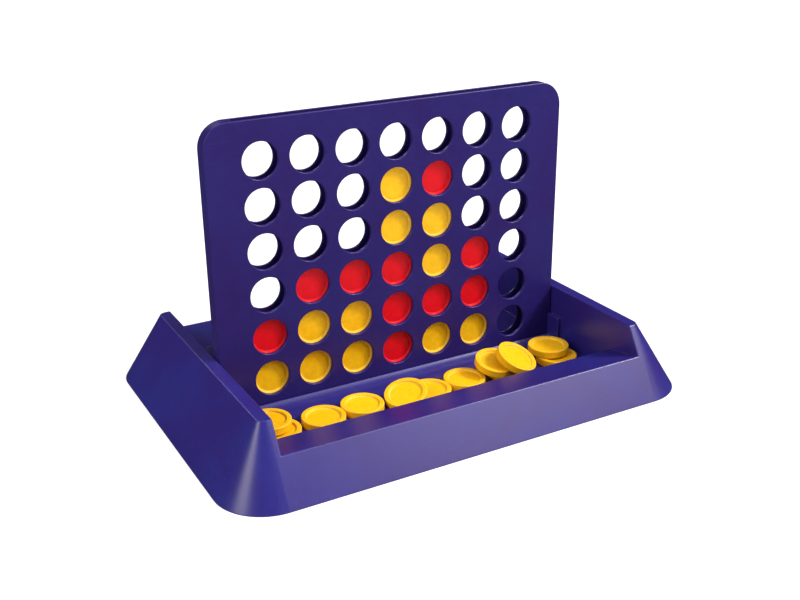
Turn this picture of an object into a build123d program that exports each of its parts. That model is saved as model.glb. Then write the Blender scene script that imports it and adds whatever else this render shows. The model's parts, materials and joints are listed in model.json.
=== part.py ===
from build123d import *
import os
from math import cos, radians, tan

# Four-in-a-row game set: a tray that stands on the table, an upright grid that plugs into the
# tray, and loose round counters. Units are millimetres. +X runs along the grid, +Y points to
# the back, +Z up. The origin is the centre of the tray's underside, at table level.

# ---------------------------------------------------------------- driving dimensions
COUNTER_DIAMETER = 31.5
COUNTER_THICKNESS = 5.6
COUNTER_RIM_WIDTH = 3.3
COUNTER_RECESS_DEPTH = 1.3
COUNTER_RECESS_DRAFT = 0.5
COUNTER_EDGE_RADIUS = 0.5

COLUMNS = 7
ROWS = 6
COLUMN_PITCH = 34.0
ROW_PITCH = 31.7
WINDOW_DIAMETER = 25.8
WINDOW_EDGE_RADIUS = 0.6

GRID_HALF_WIDTH = 141.0
GRID_THICKNESS = 11.0
GRID_TOP = 214.0
GRID_CORNER_RADIUS = 18.0
GRID_EDGE_RADIUS = 0.8
GRID_RIM_WIDTH = 2.0
PANEL_THICKNESS = 2.2
DIVIDER_THICKNESS = 1.9
DIVIDER_SETBACK = 3.0

PIN_RADIUS = 2.0
PIN_CLEARANCE = 0.05
PIN_REACH = 2.4
SOCKET_RADIUS = 3.6
PIN_PLACES = [(side * 130.0, level) for side in (-1, 1) for level in (24.0, 108.0, 195.0)]

TRAY_HALF_LENGTH = 181.25
TRAY_HALF_WIDTH = 130.0
TRAY_HEIGHT = 49.5
TRAY_CORNER_RADIUS = 36.0
TRAY_SIDE_SLOPE = 31.5
TRAY_WALL = 2.4
TRAY_RIDGE_RADIUS = 1.2
TRAY_CREST_RADIUS = 0.8
WELL_HALF_LENGTH = 141.6

FLOOR_LEVEL = 4.6
SHOULDER_LEVEL = 8.2
FITTING_GAP = 0.3
JOIN_DEPTH = 0.5

TONGUE_HALF_LENGTH = 138.0
TONGUE_REACH = 3.0

PAD_TOP = 26.0
PAD_LENGTH = 14.0
PAD_REACH = 3.2

# ---------------------------------------------------------------- worked-out dimensions
COUNTER_RADIUS = COUNTER_DIAMETER / 2
COUNTER_GAP = ROW_PITCH - COUNTER_DIAMETER
GRID_BOTTOM = SHOULDER_LEVEL + FITTING_GAP
TONGUE_TOP = GRID_BOTTOM + TONGUE_REACH
TONGUE_HALF_WIDTH = GRID_THICKNESS / 2 - PANEL_THICKNESS - FITTING_GAP
LOWEST_COUNTER_LEVEL = TONGUE_TOP + COUNTER_GAP + COUNTER_RADIUS
DIVIDER_DEPTH = GRID_THICKNESS / 2 - PANEL_THICKNESS
DIVIDER_FOOT = TONGUE_TOP + DIVIDER_SETBACK
DIVIDER_HEAD = GRID_TOP - DIVIDER_SETBACK

# The tray's surface from the centre line outwards, as (distance, height): the seat for the
# grid, a short ramp, the trough floor, the trough's outer slope, and the low wall's top, which
# falls towards the trough.
SEAT_EDGE = (6.2, SHOULDER_LEVEL)
RAMP_FOOT = (9.8, FLOOR_LEVEL)
TROUGH_CORNER = (63.8, FLOOR_LEVEL)
LOW_WALL_INNER = (79.0, 22.5)
LOW_WALL_OUTER = (111.8, 29.5)

# The radius that softens each of those corners.
RAMP_FOOT_RADIUS = 12.0
TROUGH_CORNER_RADIUS = 2.0
LOW_WALL_INNER_RADIUS = 1.5


def column_centre(column):
    """X of a column, numbered 1 to 7 from the left."""
    return (column - (COLUMNS + 1) / 2) * COLUMN_PITCH


def row_level(row):
    """Z of a row's centre, numbered 1 to 6 from the top."""
    return LOWEST_COUNTER_LEVEL + (ROWS - row) * ROW_PITCH


# ---------------------------------------------------------------- the counter
def make_counter():
    """A round counter with a raised rim on both faces; it lies on the plane z = 0."""
    recess_radius = COUNTER_RADIUS - COUNTER_RIM_WIDTH
    recess_floor_radius = recess_radius - COUNTER_RECESS_DRAFT
    blank = Pos(0, 0, COUNTER_THICKNESS / 2) * Cylinder(COUNTER_RADIUS, COUNTER_THICKNESS)
    recess = Cone(recess_floor_radius, recess_radius, COUNTER_RECESS_DEPTH)
    upper = Pos(0, 0, COUNTER_THICKNESS - COUNTER_RECESS_DEPTH / 2) * recess
    lower = Pos(0, 0, COUNTER_RECESS_DEPTH / 2) * Rot(180, 0, 0) * recess
    disc = blank - upper - lower
    rims = disc.edges().filter_by(GeomType.CIRCLE).filter_by(
        lambda edge: edge.radius > recess_radius - COUNTER_RECESS_DRAFT / 2)
    return fillet(rims, COUNTER_EDGE_RADIUS)


# ---------------------------------------------------------------- the grid's two panels
def grid_outline():
    """The upright outline of the grid, with its two upper corners rounded."""
    height = GRID_TOP - GRID_BOTTOM
    sheet = Pos(0, GRID_BOTTOM + height / 2) * Rectangle(2 * GRID_HALF_WIDTH, height)
    upper_corners = sheet.vertices().sort_by(Axis.Y)[-2:]
    return fillet(upper_corners, GRID_CORNER_RADIUS)


def make_sheet(outline):
    """The front panel's perforated sheet, with soft edges on its outer face."""
    outside = -GRID_THICKNESS / 2
    sheet = Pos(0, outside, 0) * extrude(Plane.XZ * outline, -PANEL_THICKNESS)
    windows = [
        Pos(column_centre(column), outside, row_level(row))
        * Rot(90, 0, 0) * Cylinder(WINDOW_DIAMETER / 2, 3 * PANEL_THICKNESS)
        for column in range(1, COLUMNS + 1)
        for row in range(1, ROWS + 1)
    ]
    sheet = sheet - windows
    window_edges = sheet.faces().sort_by(Axis.Y)[0].edges().filter_by(GeomType.CIRCLE).filter_by(
        lambda edge: edge.radius < GRID_CORNER_RADIUS - 1)
    sheet = fillet(window_edges, WINDOW_EDGE_RADIUS)
    outer_edges = sheet.faces().sort_by(Axis.Y)[0].outer_wire().edges().filter_by(
        lambda edge: edge.center().Z > GRID_BOTTOM + 1)
    return fillet(outer_edges, GRID_EDGE_RADIUS)


def make_rim(outline):
    """The wall behind the sheet that closes the two side margins down to the tray's tongue."""
    channels_half_width = COLUMNS * COLUMN_PITCH / 2
    tall = 2 * GRID_TOP
    margins = (
        Rectangle(2 * GRID_HALF_WIDTH + 2, 2 * tall) - Rectangle(2 * channels_half_width, 2 * tall))
    foot_opening = Pos(0, GRID_BOTTOM) * Rectangle(
        2 * (GRID_HALF_WIDTH - GRID_RIM_WIDTH), 2 * TONGUE_REACH)
    band = (outline - offset(outline, -GRID_RIM_WIDTH)) & margins - foot_opening
    return Pos(0, -DIVIDER_DEPTH, 0) * extrude(Plane.XZ * band, -DIVIDER_DEPTH)


def make_front_panel():
    """The front half of the grid: a perforated sheet with walls that reach the middle plane."""
    outline = grid_outline()
    height = DIVIDER_HEAD - DIVIDER_FOOT
    dividers = [
        Pos((index - COLUMNS / 2) * COLUMN_PITCH, -DIVIDER_DEPTH / 2, DIVIDER_FOOT + height / 2)
        * Box(DIVIDER_THICKNESS, DIVIDER_DEPTH, height)
        for index in range(COLUMNS + 1)
    ]
    return make_sheet(outline) + make_rim(outline) + dividers


def add_pins(panel):
    """Locating pins in the front panel's margins, which reach into the rear panel."""
    length = DIVIDER_DEPTH + PIN_REACH
    pins = [Pos(x, (PIN_REACH - DIVIDER_DEPTH) / 2, z) * Rot(90, 0, 0) * Cylinder(PIN_RADIUS, length)
            for x, z in PIN_PLACES]
    return panel + pins


def add_sockets(panel):
    """Tubes in the rear panel's margins, which hold the front panel's pins."""
    tube = (Cylinder(SOCKET_RADIUS, DIVIDER_DEPTH)
            - Cylinder(PIN_RADIUS + PIN_CLEARANCE, DIVIDER_DEPTH))
    tubes = [Pos(x, DIVIDER_DEPTH / 2, z) * Rot(90, 0, 0) * tube for x, z in PIN_PLACES]
    return panel + tubes


# ---------------------------------------------------------------- the tray
def tapered_block(half_length, half_width, corner_radius, height):
    """A rounded slab whose sides all lean inwards at the tray's slope."""
    foot = RectangleRounded(2 * half_length, 2 * half_width, corner_radius)
    shrink = height * tan(radians(TRAY_SIDE_SLOPE))
    head = RectangleRounded(
        2 * (half_length - shrink), 2 * (half_width - shrink), corner_radius - shrink)
    return loft([foot, Pos(0, 0, height) * head], ruled=True)


def well_profile():
    """The cross-section of everything above the tray's surface, seen along the tray."""
    above = 90.0
    beyond = 150.0
    band_slope = (LOW_WALL_OUTER[1] - LOW_WALL_INNER[1]) / (LOW_WALL_OUTER[0] - LOW_WALL_INNER[0])
    band_end = (beyond, LOW_WALL_OUTER[1] + (beyond - LOW_WALL_OUTER[0]) * band_slope)
    surface = [SEAT_EDGE, RAMP_FOOT, TROUGH_CORNER, LOW_WALL_INNER, band_end]
    rear = surface + [(beyond, above)]
    front = [(-distance, level) for distance, level in reversed(rear)]
    return make_face(Polyline(*front, *rear, close=True))


def rounded_well():
    """The well's cross-section with soft corners in the troughs and on the low walls."""
    profile = well_profile()
    corners = (
        (TROUGH_CORNER, TROUGH_CORNER_RADIUS),
        (LOW_WALL_INNER, LOW_WALL_INNER_RADIUS),
        (RAMP_FOOT, RAMP_FOOT_RADIUS),
    )
    for corner, radius in corners:
        sharp = profile.vertices().filter_by(lambda v: abs(abs(v.X) - corner[0]) < 0.1)
        profile = fillet(sharp, radius)
    return profile


def make_shell():
    """The tray's outside less its well, with soft edges along the crests of all four walls."""
    outside = tapered_block(TRAY_HALF_LENGTH, TRAY_HALF_WIDTH, TRAY_CORNER_RADIUS, TRAY_HEIGHT)
    ridge = outside.faces().sort_by(Axis.Z)[-1].edges()
    outside = fillet(ridge, TRAY_RIDGE_RADIUS)
    shell = outside - extrude(Plane.YZ * rounded_well(), WELL_HALF_LENGTH, both=True)
    low_wall_crests = shell.edges().filter_by(Axis.X).filter_by(
        lambda edge: abs(edge.center().Z - LOW_WALL_OUTER[1]) < 0.2)
    end_wall_crests = shell.edges().filter_by(Axis.Y).filter_by(
        lambda edge: abs(edge.center().Z - TRAY_HEIGHT) < 0.2
        and abs(edge.center().X) < WELL_HALF_LENGTH + 1)
    return fillet(low_wall_crests + end_wall_crests, TRAY_CREST_RADIUS)


def make_hollow():
    """The space under the tray, which leaves an even wall all round."""
    sloped_wall = TRAY_WALL / cos(radians(TRAY_SIDE_SLOPE))
    inside = tapered_block(
        TRAY_HALF_LENGTH - sloped_wall, TRAY_HALF_WIDTH - sloped_wall,
        TRAY_CORNER_RADIUS - sloped_wall, TRAY_HEIGHT - TRAY_WALL)
    thick_well = extrude(
        Plane.YZ * offset(well_profile(), TRAY_WALL), WELL_HALF_LENGTH + TRAY_WALL, both=True)
    return inside - thick_well


def make_guide_pads():
    """Four pads on the end walls, on both sides of the grid's ends, that keep it upright."""
    foot = FLOOR_LEVEL - JOIN_DEPTH
    pad = Box(PAD_REACH + JOIN_DEPTH, PAD_LENGTH, PAD_TOP - foot)
    x = WELL_HALF_LENGTH + (JOIN_DEPTH - PAD_REACH) / 2
    y = GRID_THICKNESS / 2 + FITTING_GAP + PAD_LENGTH / 2
    return [Pos(side * x, face * y, (PAD_TOP + foot) / 2) * pad for side in (-1, 1) for face in (-1, 1)]


def make_tray():
    """The tray: a hollow moulding, open underneath, with two troughs and a seat for the grid."""
    tray = make_shell() - make_hollow()
    tongue_foot = SHOULDER_LEVEL - JOIN_DEPTH
    tongue = Pos(0, 0, (TONGUE_TOP + tongue_foot) / 2) * Box(
        2 * TONGUE_HALF_LENGTH, 2 * TONGUE_HALF_WIDTH, TONGUE_TOP - tongue_foot)
    tray = tray + tongue
    for pad in make_guide_pads():
        tray = tray + pad
    return tray


# ---------------------------------------------------------------- where the counters lie
# The counters dropped into the grid: each column's colours, from its top counter down.
PLAYED = {
    1: ["red", "yellow"],
    2: ["red", "yellow", "yellow"],
    3: ["red", "yellow", "yellow"],
    4: ["yellow", "yellow", "red", "red", "red"],
    5: ["red", "yellow", "yellow", "red", "yellow"],
    6: ["red", "red", "yellow"],
}

ON_FLOOR = FLOOR_LEVEL + 0.1
ON_ANOTHER = ON_FLOOR + COUNTER_THICKNESS + 0.2

# The loose counters in the front trough, from the left: the centre of the underside, then the
# direction in which the counter leans and how far, in degrees. The ones named "on_..." lie on
# their neighbours.
FRONT_TROUGH = {
    "yellow_counter_front_01": (-116.5, -46.3, ON_FLOOR, 0, 0),
    "yellow_counter_front_02_on_01": (-121.0, -40.3, ON_ANOTHER, 0, 0),
    "yellow_counter_front_03": (-81.8, -44.6, ON_FLOOR, 0, 0),
    "yellow_counter_front_04": (-49.8, -41.5, ON_FLOOR, 0, 0),
    "yellow_counter_front_05": (3.6, -45.9, ON_FLOOR, 0, 0),
    "yellow_counter_front_06_on_05": (-17.8, -49.1, 9.3, -150, 16),
    "yellow_counter_front_07": (35.3, -42.9, ON_FLOOR, 0, 0),
    "yellow_counter_front_08": (72.3, -45.3, ON_FLOOR, 0, 0),
    "yellow_counter_front_09_on_08": (61.0, -45.0, 13.9, -77, 12.5),
    "yellow_counter_front_10_on_09": (72.9, -53.1, 18.3, -53, 26.7),
    "yellow_counter_front_11": (118.3, -45.3, ON_FLOOR, 0, 0),
    "yellow_counter_front_12_on_11": (116.3, -37.1, ON_ANOTHER, 0, 0),
}

# The loose counters in the rear trough, in the same form.
REAR_TROUGH = {
    "red_counter_rear_01": (-122.0, 46.0, ON_FLOOR, 0, 0),
    "red_counter_rear_02": (-88.5, 43.5, ON_FLOOR, 0, 0),
    "red_counter_rear_03_on_02": (-89.6, 47.4, ON_ANOTHER, 0, 0),
    "red_counter_rear_04": (-54.0, 46.5, ON_FLOOR, 0, 0),
    "red_counter_rear_05": (-19.5, 44.0, ON_FLOOR, 0, 0),
    "red_counter_rear_06_on_05": (-21.8, 40.8, ON_ANOTHER, 0, 0),
    "red_counter_rear_07": (14.0, 47.0, ON_FLOOR, 0, 0),
    "red_counter_rear_08_on_07": (16.0, 42.2, ON_ANOTHER, 0, 0),
    "red_counter_rear_09": (48.5, 45.0, ON_FLOOR, 0, 0),
    "red_counter_rear_10": (84.0, 43.0, ON_FLOOR, 0, 0),
    "red_counter_rear_11_on_10": (81.0, 47.5, ON_ANOTHER, 0, 0),
}


def lay_down(counter, x, y, level, lean_towards, lean):
    """Place a counter in a trough, leaning towards a compass direction about +Z."""
    turn = Rot(0, 0, lean_towards) * Rot(0, lean, 0) * Rot(0, 0, -lean_towards)
    return Pos(x, y, level) * turn * counter


def stand_up(counter, column, row):
    """Place a counter upright in a grid cell."""
    return Pos(column_centre(column), COUNTER_THICKNESS / 2, row_level(row)) * Rot(90, 0, 0) * counter


def played_counters(counter):
    """Every counter in the grid, by name."""
    placed = {}
    for column, colours in PLAYED.items():
        for depth, colour in enumerate(colours):
            row = ROWS - len(colours) + 1 + depth
            name = f"{colour}_counter_column_{column}_row_{row}"
            placed[name] = stand_up(counter, column, row)
    return placed


# ---------------------------------------------------------------- the assembly
counter = make_counter()
half_grid = make_front_panel()

nodes = {
    "tray": make_tray(),
    "grid_front_panel": add_pins(half_grid),
    "grid_rear_panel": add_sockets(mirror(half_grid, about=Plane.XZ)),
}
nodes.update(played_counters(counter))
for name, place in (FRONT_TROUGH | REAR_TROUGH).items():
    nodes[name] = lay_down(counter, *place)

os.makedirs("parts", exist_ok=True)
for name, solid in nodes.items():
    export_step(solid, f"parts/{name}.step")
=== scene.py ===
import json
from math import cos, pi, radians, sin

import bpy
from mathutils import Matrix, Vector


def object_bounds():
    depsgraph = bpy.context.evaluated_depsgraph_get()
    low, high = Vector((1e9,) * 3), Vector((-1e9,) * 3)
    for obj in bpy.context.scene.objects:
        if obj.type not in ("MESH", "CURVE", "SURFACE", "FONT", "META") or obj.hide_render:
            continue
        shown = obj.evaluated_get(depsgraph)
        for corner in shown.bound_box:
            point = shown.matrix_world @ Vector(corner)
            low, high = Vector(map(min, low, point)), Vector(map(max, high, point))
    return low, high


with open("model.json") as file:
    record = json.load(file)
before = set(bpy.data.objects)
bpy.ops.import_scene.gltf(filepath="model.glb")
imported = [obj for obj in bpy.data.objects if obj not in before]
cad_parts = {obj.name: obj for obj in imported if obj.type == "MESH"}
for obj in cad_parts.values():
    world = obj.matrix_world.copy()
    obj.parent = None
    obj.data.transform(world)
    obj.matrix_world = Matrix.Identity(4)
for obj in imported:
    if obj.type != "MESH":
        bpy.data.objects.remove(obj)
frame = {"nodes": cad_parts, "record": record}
cad_low, cad_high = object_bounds()
MM = 0.001

# ------------------------------------------------------------------ node helpers


class Nodes:
    """Short calls for building one material's node tree."""

    def __init__(self, tree):
        self.tree = tree
        tree.nodes.clear()

    def add(self, kind, **settings):
        """Make a node. A setting named like an attribute sets it; any other sets an input."""
        node = self.tree.nodes.new(kind)
        for name, value in settings.items():
            if hasattr(node, name):
                setattr(node, name, value)
            else:
                self.feed(node.inputs[name.replace("_", " ")], value)
        return node

    def feed(self, socket, value):
        """Link an output to the socket, or set the socket's value."""
        if isinstance(value, bpy.types.NodeSocket):
            self.tree.links.new(value, socket)
        else:
            socket.default_value = value

    def math(self, operation, *values):
        node = self.add("ShaderNodeMath", operation=operation)
        for socket, value in zip(node.inputs, values):
            self.feed(socket, value)
        return node.outputs[0]

    def mix(self, blend, factor, first, second):
        """Mix two colours."""
        node = self.add("ShaderNodeMix", data_type="RGBA", blend_type=blend)
        self.feed(node.inputs["Factor"], factor)
        self.feed(node.inputs[6], first)
        self.feed(node.inputs[7], second)
        return node.outputs[2]

    def noise(self, place, scale, detail=2.0, roughness=0.5, distortion=0.0):
        node = self.add("ShaderNodeTexNoise", Scale=scale, Detail=detail, Roughness=roughness,
                        Distortion=distortion)
        self.feed(node.inputs["Vector"], place)
        return node.outputs["Fac"]

    def remap(self, value, low, high, to_low=0.0, to_high=1.0):
        """Stretch the range low..high to to_low..to_high, clamped."""
        node = self.add("ShaderNodeMapRange", clamp=True)
        for socket, number in zip(node.inputs, (value, low, high, to_low, to_high)):
            self.feed(socket, number)
        return node.outputs[0]

    def stretch(self, place, scale, turn=(0.0, 0.0, 0.0)):
        """Scale and turn the texture space."""
        node = self.add("ShaderNodeMapping", Scale=scale, Rotation=turn)
        self.feed(node.inputs["Vector"], place)
        return node.outputs[0]


def rgba(colour):
    return (*colour, 1.0)


def grey(value):
    return (value, value, value, 1.0)


# ------------------------------------------------------------------ materials

# Noise scales, in features per metre.
CLOUD_SCALE = 14.0
PATCH_SCALE = 60.0
MOTTLE_SCALE = 280.0
GRAIN_SCALE = 1600.0
FLOW_SCALE = (30.0, 30.0, 6.0)

# Hairline scuffs: noise stretched along one direction, and turned, in radians.
SCUFF_SCALES = ((60.0, 1900.0, 1100.0), (1700.0, 50.0, 1300.0))
SCUFF_TURNS = ((0.3, 0.5, 0.9), (0.7, 0.2, -0.4))
SCUFF_STRENGTH = 0.12

MOTTLE_SHADE = (0.88, 0.88, 0.90)
FLOW_SHADE = (0.86, 0.88, 0.94)
ROUGHNESS_SWING = 0.03
GRAIN_DEPTH = 0.00006
PLASTIC_IOR = 1.49


def moulded_plastic(name, colour, cloud_colour, wear_and_highlight_colour, roughness, edge_width, wear_and_highlight_strength,
                    specular, seed):
    """Injection-moulded plastic: cloudy colour, a fine mould grain, hairline scuffs and pale
    edges, partly worn and partly a painted highlight. Lengths are in metres."""
    material = bpy.data.materials.new(name)
    material.use_nodes = True
    n = Nodes(material.node_tree)
    place = n.add("ShaderNodeMapping", Location=(seed, 2.3 * seed, 0.7 * seed))
    n.feed(place.inputs["Vector"], n.add("ShaderNodeTexCoord").outputs["Object"])
    place = place.outputs[0]

    cloud = n.noise(place, CLOUD_SCALE, detail=3.0, roughness=0.6, distortion=0.4)
    flow = n.noise(n.stretch(place, FLOW_SCALE), 1.0, detail=2.0)
    tint = n.mix("MIX", n.remap(cloud, 0.38, 0.62), rgba(colour), rgba(cloud_colour))
    mottle = n.noise(place, MOTTLE_SCALE, detail=3.0, roughness=0.65)
    tint = n.mix("MULTIPLY", n.remap(mottle, 0.35, 0.65), tint, rgba(MOTTLE_SHADE))
    tint = n.mix("MULTIPLY", n.remap(flow, 0.35, 0.65, 0.0, 0.25), tint, rgba(FLOW_SHADE))

    bevel = n.add("ShaderNodeBevel", samples=6, Radius=edge_width)
    normal = n.add("ShaderNodeNewGeometry").outputs["Normal"]
    facing = n.add("ShaderNodeVectorMath", operation="DOT_PRODUCT")
    n.feed(facing.inputs[0], bevel.outputs[0])
    n.feed(facing.inputs[1], normal)
    edge = n.remap(facing.outputs["Value"], 0.998, 0.90)
    patch = n.noise(place, PATCH_SCALE, detail=4.0, roughness=0.7)
    # Pale edges: partly wear, partly a painted highlight along every edge that would catch the
    # light.
    wear_and_highlight_mask = n.math("MULTIPLY", edge, n.remap(patch, 0.38, 0.62, 0.35 * wear_and_highlight_strength, wear_and_highlight_strength))
    tint = n.mix("MIX", wear_and_highlight_mask, tint, rgba(wear_and_highlight_colour))

    hairs = [n.remap(n.noise(n.stretch(place, scale, turn), 1.0, detail=1.0), 0.62, 0.82)
             for scale, turn in zip(SCUFF_SCALES, SCUFF_TURNS)]
    scuff = n.math("MAXIMUM", *hairs)
    scuff = n.math("MULTIPLY", scuff, n.remap(patch, 0.40, 0.62, 0.0, SCUFF_STRENGTH))
    tint = n.mix("MIX", scuff, tint, rgba(wear_and_highlight_colour))
    shine = n.remap(cloud, 0.3, 0.7, roughness - ROUGHNESS_SWING, roughness + ROUGHNESS_SWING)

    pebble = n.noise(place, GRAIN_SCALE, detail=2.0, roughness=0.55)
    height = n.math("ADD", pebble, n.math("MULTIPLY", mottle, 0.6))
    bump = n.add("ShaderNodeBump", Strength=0.35, Distance=GRAIN_DEPTH)
    n.feed(bump.inputs["Height"], height)
    n.feed(bump.inputs["Normal"], bevel.outputs[0])

    shader = n.add("ShaderNodeBsdfPrincipled")
    n.feed(shader.inputs["Base Color"], tint)
    n.feed(shader.inputs["Roughness"], shine)
    n.feed(shader.inputs["Normal"], bump.outputs[0])
    shader.inputs["IOR"].default_value = PLASTIC_IOR
    shader.inputs["Specular IOR Level"].default_value = specular
    out = n.add("ShaderNodeOutputMaterial")
    n.feed(out.inputs["Surface"], shader.outputs[0])
    return material


# Each plastic: colour, cloud colour, then the pale colour of scuffs and edges; at the edges it
# is partly a painted highlight.
MATERIALS = {
    "tray_plastic": moulded_plastic(
        "tray_plastic", (0.021, 0.012, 0.150), (0.018, 0.017, 0.180), (0.13, 0.10, 0.36),
        roughness=0.31, edge_width=0.0009, wear_and_highlight_strength=0.35, specular=0.5, seed=1.0),
    # The grid is the same blue plastic as the tray; its colour is set darker as painted shade,
    # for dimmer light on the upright panel.
    "grid_plastic": moulded_plastic(
        "grid_plastic", (0.020, 0.009, 0.108), (0.017, 0.011, 0.124), (0.09, 0.07, 0.28),
        roughness=0.32, edge_width=0.0006, wear_and_highlight_strength=0.5, specular=0.3, seed=2.0),
    "yellow_plastic": moulded_plastic(
        "yellow_plastic", (0.840, 0.440, 0.003), (0.860, 0.480, 0.005), (0.95, 0.76, 0.26),
        roughness=0.36, edge_width=0.0009, wear_and_highlight_strength=0.9, specular=0.22, seed=3.0),
    "red_plastic": moulded_plastic(
        "red_plastic", (0.620, 0.002, 0.007), (0.660, 0.002, 0.011), (0.74, 0.09, 0.10),
        roughness=0.36, edge_width=0.0007, wear_and_highlight_strength=0.6, specular=0.2, seed=4.0),
}

for subpart in frame["record"]["subparts"]:
    node = frame["nodes"][subpart["node"]]
    node.data.materials.clear()
    node.data.materials.append(MATERIALS[subpart["material_slot"]])

# ------------------------------------------------------------------ the studio

FLOOR_HALF_WIDTH = 30.0

# The room's brightness as light and in reflections; the camera sees it as 1.
ROOM_LIGHT = 0.40
ROOM_REFLECTION = 0.03

# The photograph's camera: angles in degrees, place in metres, lens and sensor in millimetres.
CAMERA_AZIMUTH, CAMERA_ELEVATION, CAMERA_ROLL = 29.006, 22.244, -0.558
CAMERA_PLACE = (-0.3571, -0.6525, 0.3684)
CAMERA_LENS, CAMERA_SENSOR = 48.54, 36.0


def floor_material():
    """A pale floor that glows a little, and more far away, where the lights don't reach."""
    material = bpy.data.materials.new("studio_floor")
    material.use_nodes = True
    n = Nodes(material.node_tree)
    place = n.add("ShaderNodeTexCoord").outputs["Object"]
    shade = n.noise(place, 3.0, detail=2.0)
    tint = n.mix("MIX", shade, grey(0.45), grey(0.48))
    shader = n.add("ShaderNodeBsdfPrincipled", Roughness=0.8)
    n.feed(shader.inputs["Base Color"], tint)
    shader.inputs["Emission Color"].default_value = grey(1.0)
    distance = n.add("ShaderNodeVectorMath", operation="LENGTH")
    n.feed(distance.inputs[0], place)
    glow = n.remap(distance.outputs["Value"], 1.5, 5.0, 0.6, 1.0)
    n.feed(shader.inputs["Emission Strength"], glow)
    out = n.add("ShaderNodeOutputMaterial")
    n.feed(out.inputs["Surface"], shader.outputs[0])
    material.cycles.emission_sampling = "NONE"
    return material


def make_floor():
    half = FLOOR_HALF_WIDTH
    mesh = bpy.data.meshes.new("floor")
    corners = [(-half, -half, 0.0), (half, -half, 0.0), (half, half, 0.0), (-half, half, 0.0)]
    mesh.from_pydata(corners, [], [(0, 1, 2, 3)])
    mesh.materials.append(floor_material())
    floor = bpy.data.objects.new("floor", mesh)
    floor.location.z = cad_low.z - 0.05 * MM
    bpy.context.collection.objects.link(floor)
    floor.visible_glossy = False


def direction(azimuth, elevation):
    """A unit vector. Azimuth 0 is the front, -Y, and 90 is the right, +X, in degrees."""
    a, e = radians(azimuth), radians(elevation)
    return Vector((sin(a) * cos(e), -cos(a) * cos(e), sin(e)))


def softbox(name, azimuth, elevation, distance, width, height, radiance, colour=(1.0, 1.0, 1.0)):
    """A rectangular light of a given brightness that faces the middle of the object."""
    light = bpy.data.lights.new(name, "AREA")
    light.shape = "RECTANGLE"
    light.size, light.size_y = width, height
    light.energy = radiance * pi * width * height
    light.color = colour
    lamp = bpy.data.objects.new(name, light)
    target = (cad_low + cad_high) / 2
    towards = direction(azimuth, elevation)
    lamp.location = target + towards * distance
    lamp.rotation_mode = "QUATERNION"
    lamp.rotation_quaternion = towards.to_track_quat("Z", "Y")
    bpy.context.collection.objects.link(lamp)


def make_world():
    """A white room for the camera, softer in its light and nearly dark in the reflections."""
    world = bpy.data.worlds.new("studio")
    world.use_nodes = True
    n = Nodes(world.node_tree)
    rays = n.add("ShaderNodeLightPath")
    strength = n.math("SUBTRACT", ROOM_LIGHT, n.math(
        "MULTIPLY", rays.outputs["Is Glossy Ray"], ROOM_LIGHT - ROOM_REFLECTION))
    strength = n.math("ADD", strength, n.math(
        "MULTIPLY", rays.outputs["Is Camera Ray"], 1.0 - ROOM_LIGHT))
    sky = n.add("ShaderNodeBackground", Color=grey(1.0))
    n.feed(sky.inputs["Strength"], strength)
    out = n.add("ShaderNodeOutputWorld")
    n.feed(out.inputs["Surface"], sky.outputs[0])
    world.cycles.sampling_method = "NONE"
    bpy.context.scene.world = world


def make_camera():
    """The camera at the photograph's place, in front of the tray's left end and above it."""
    data = bpy.data.cameras.new("camera")
    data.sensor_width = CAMERA_SENSOR
    data.lens = CAMERA_LENS
    data.clip_end = 100.0
    camera = bpy.data.objects.new("camera", data)
    backward = direction(-CAMERA_AZIMUTH, CAMERA_ELEVATION)
    sideways = Vector((0.0, 0.0, 1.0)).cross(backward).normalized()
    upward = backward.cross(sideways)
    level = Matrix((sideways, upward, backward)).transposed()
    turned = level @ Matrix.Rotation(radians(CAMERA_ROLL), 3, "Z")
    camera.matrix_world = Matrix.Translation(CAMERA_PLACE) @ turned.to_4x4()
    bpy.context.collection.objects.link(camera)
    bpy.context.scene.camera = camera


make_floor()
make_world()
# Azimuth, elevation, distance, width, height, radiance and colour.
softbox("key", 46.0, 38.0, 5.5, 3.6, 3.2, 5.8, (1.0, 0.90, 0.80))
softbox("lamp", 60.0, 42.0, 5.0, 0.9, 0.9, 85.0, (1.0, 0.96, 0.91))
softbox("left_strip", -80.0, 34.0, 5.0, 1.9, 3.0, 8.0, (1.0, 0.93, 0.86))
softbox("overhead", 25.0, 78.0, 5.5, 3.3, 3.3, 1.5)
softbox("rim", 188.0, 40.0, 5.0, 2.0, 1.0, 7.0, (0.86, 0.82, 1.0))
make_camera()
bpy.context.scene.view_settings.view_transform = "Standard"
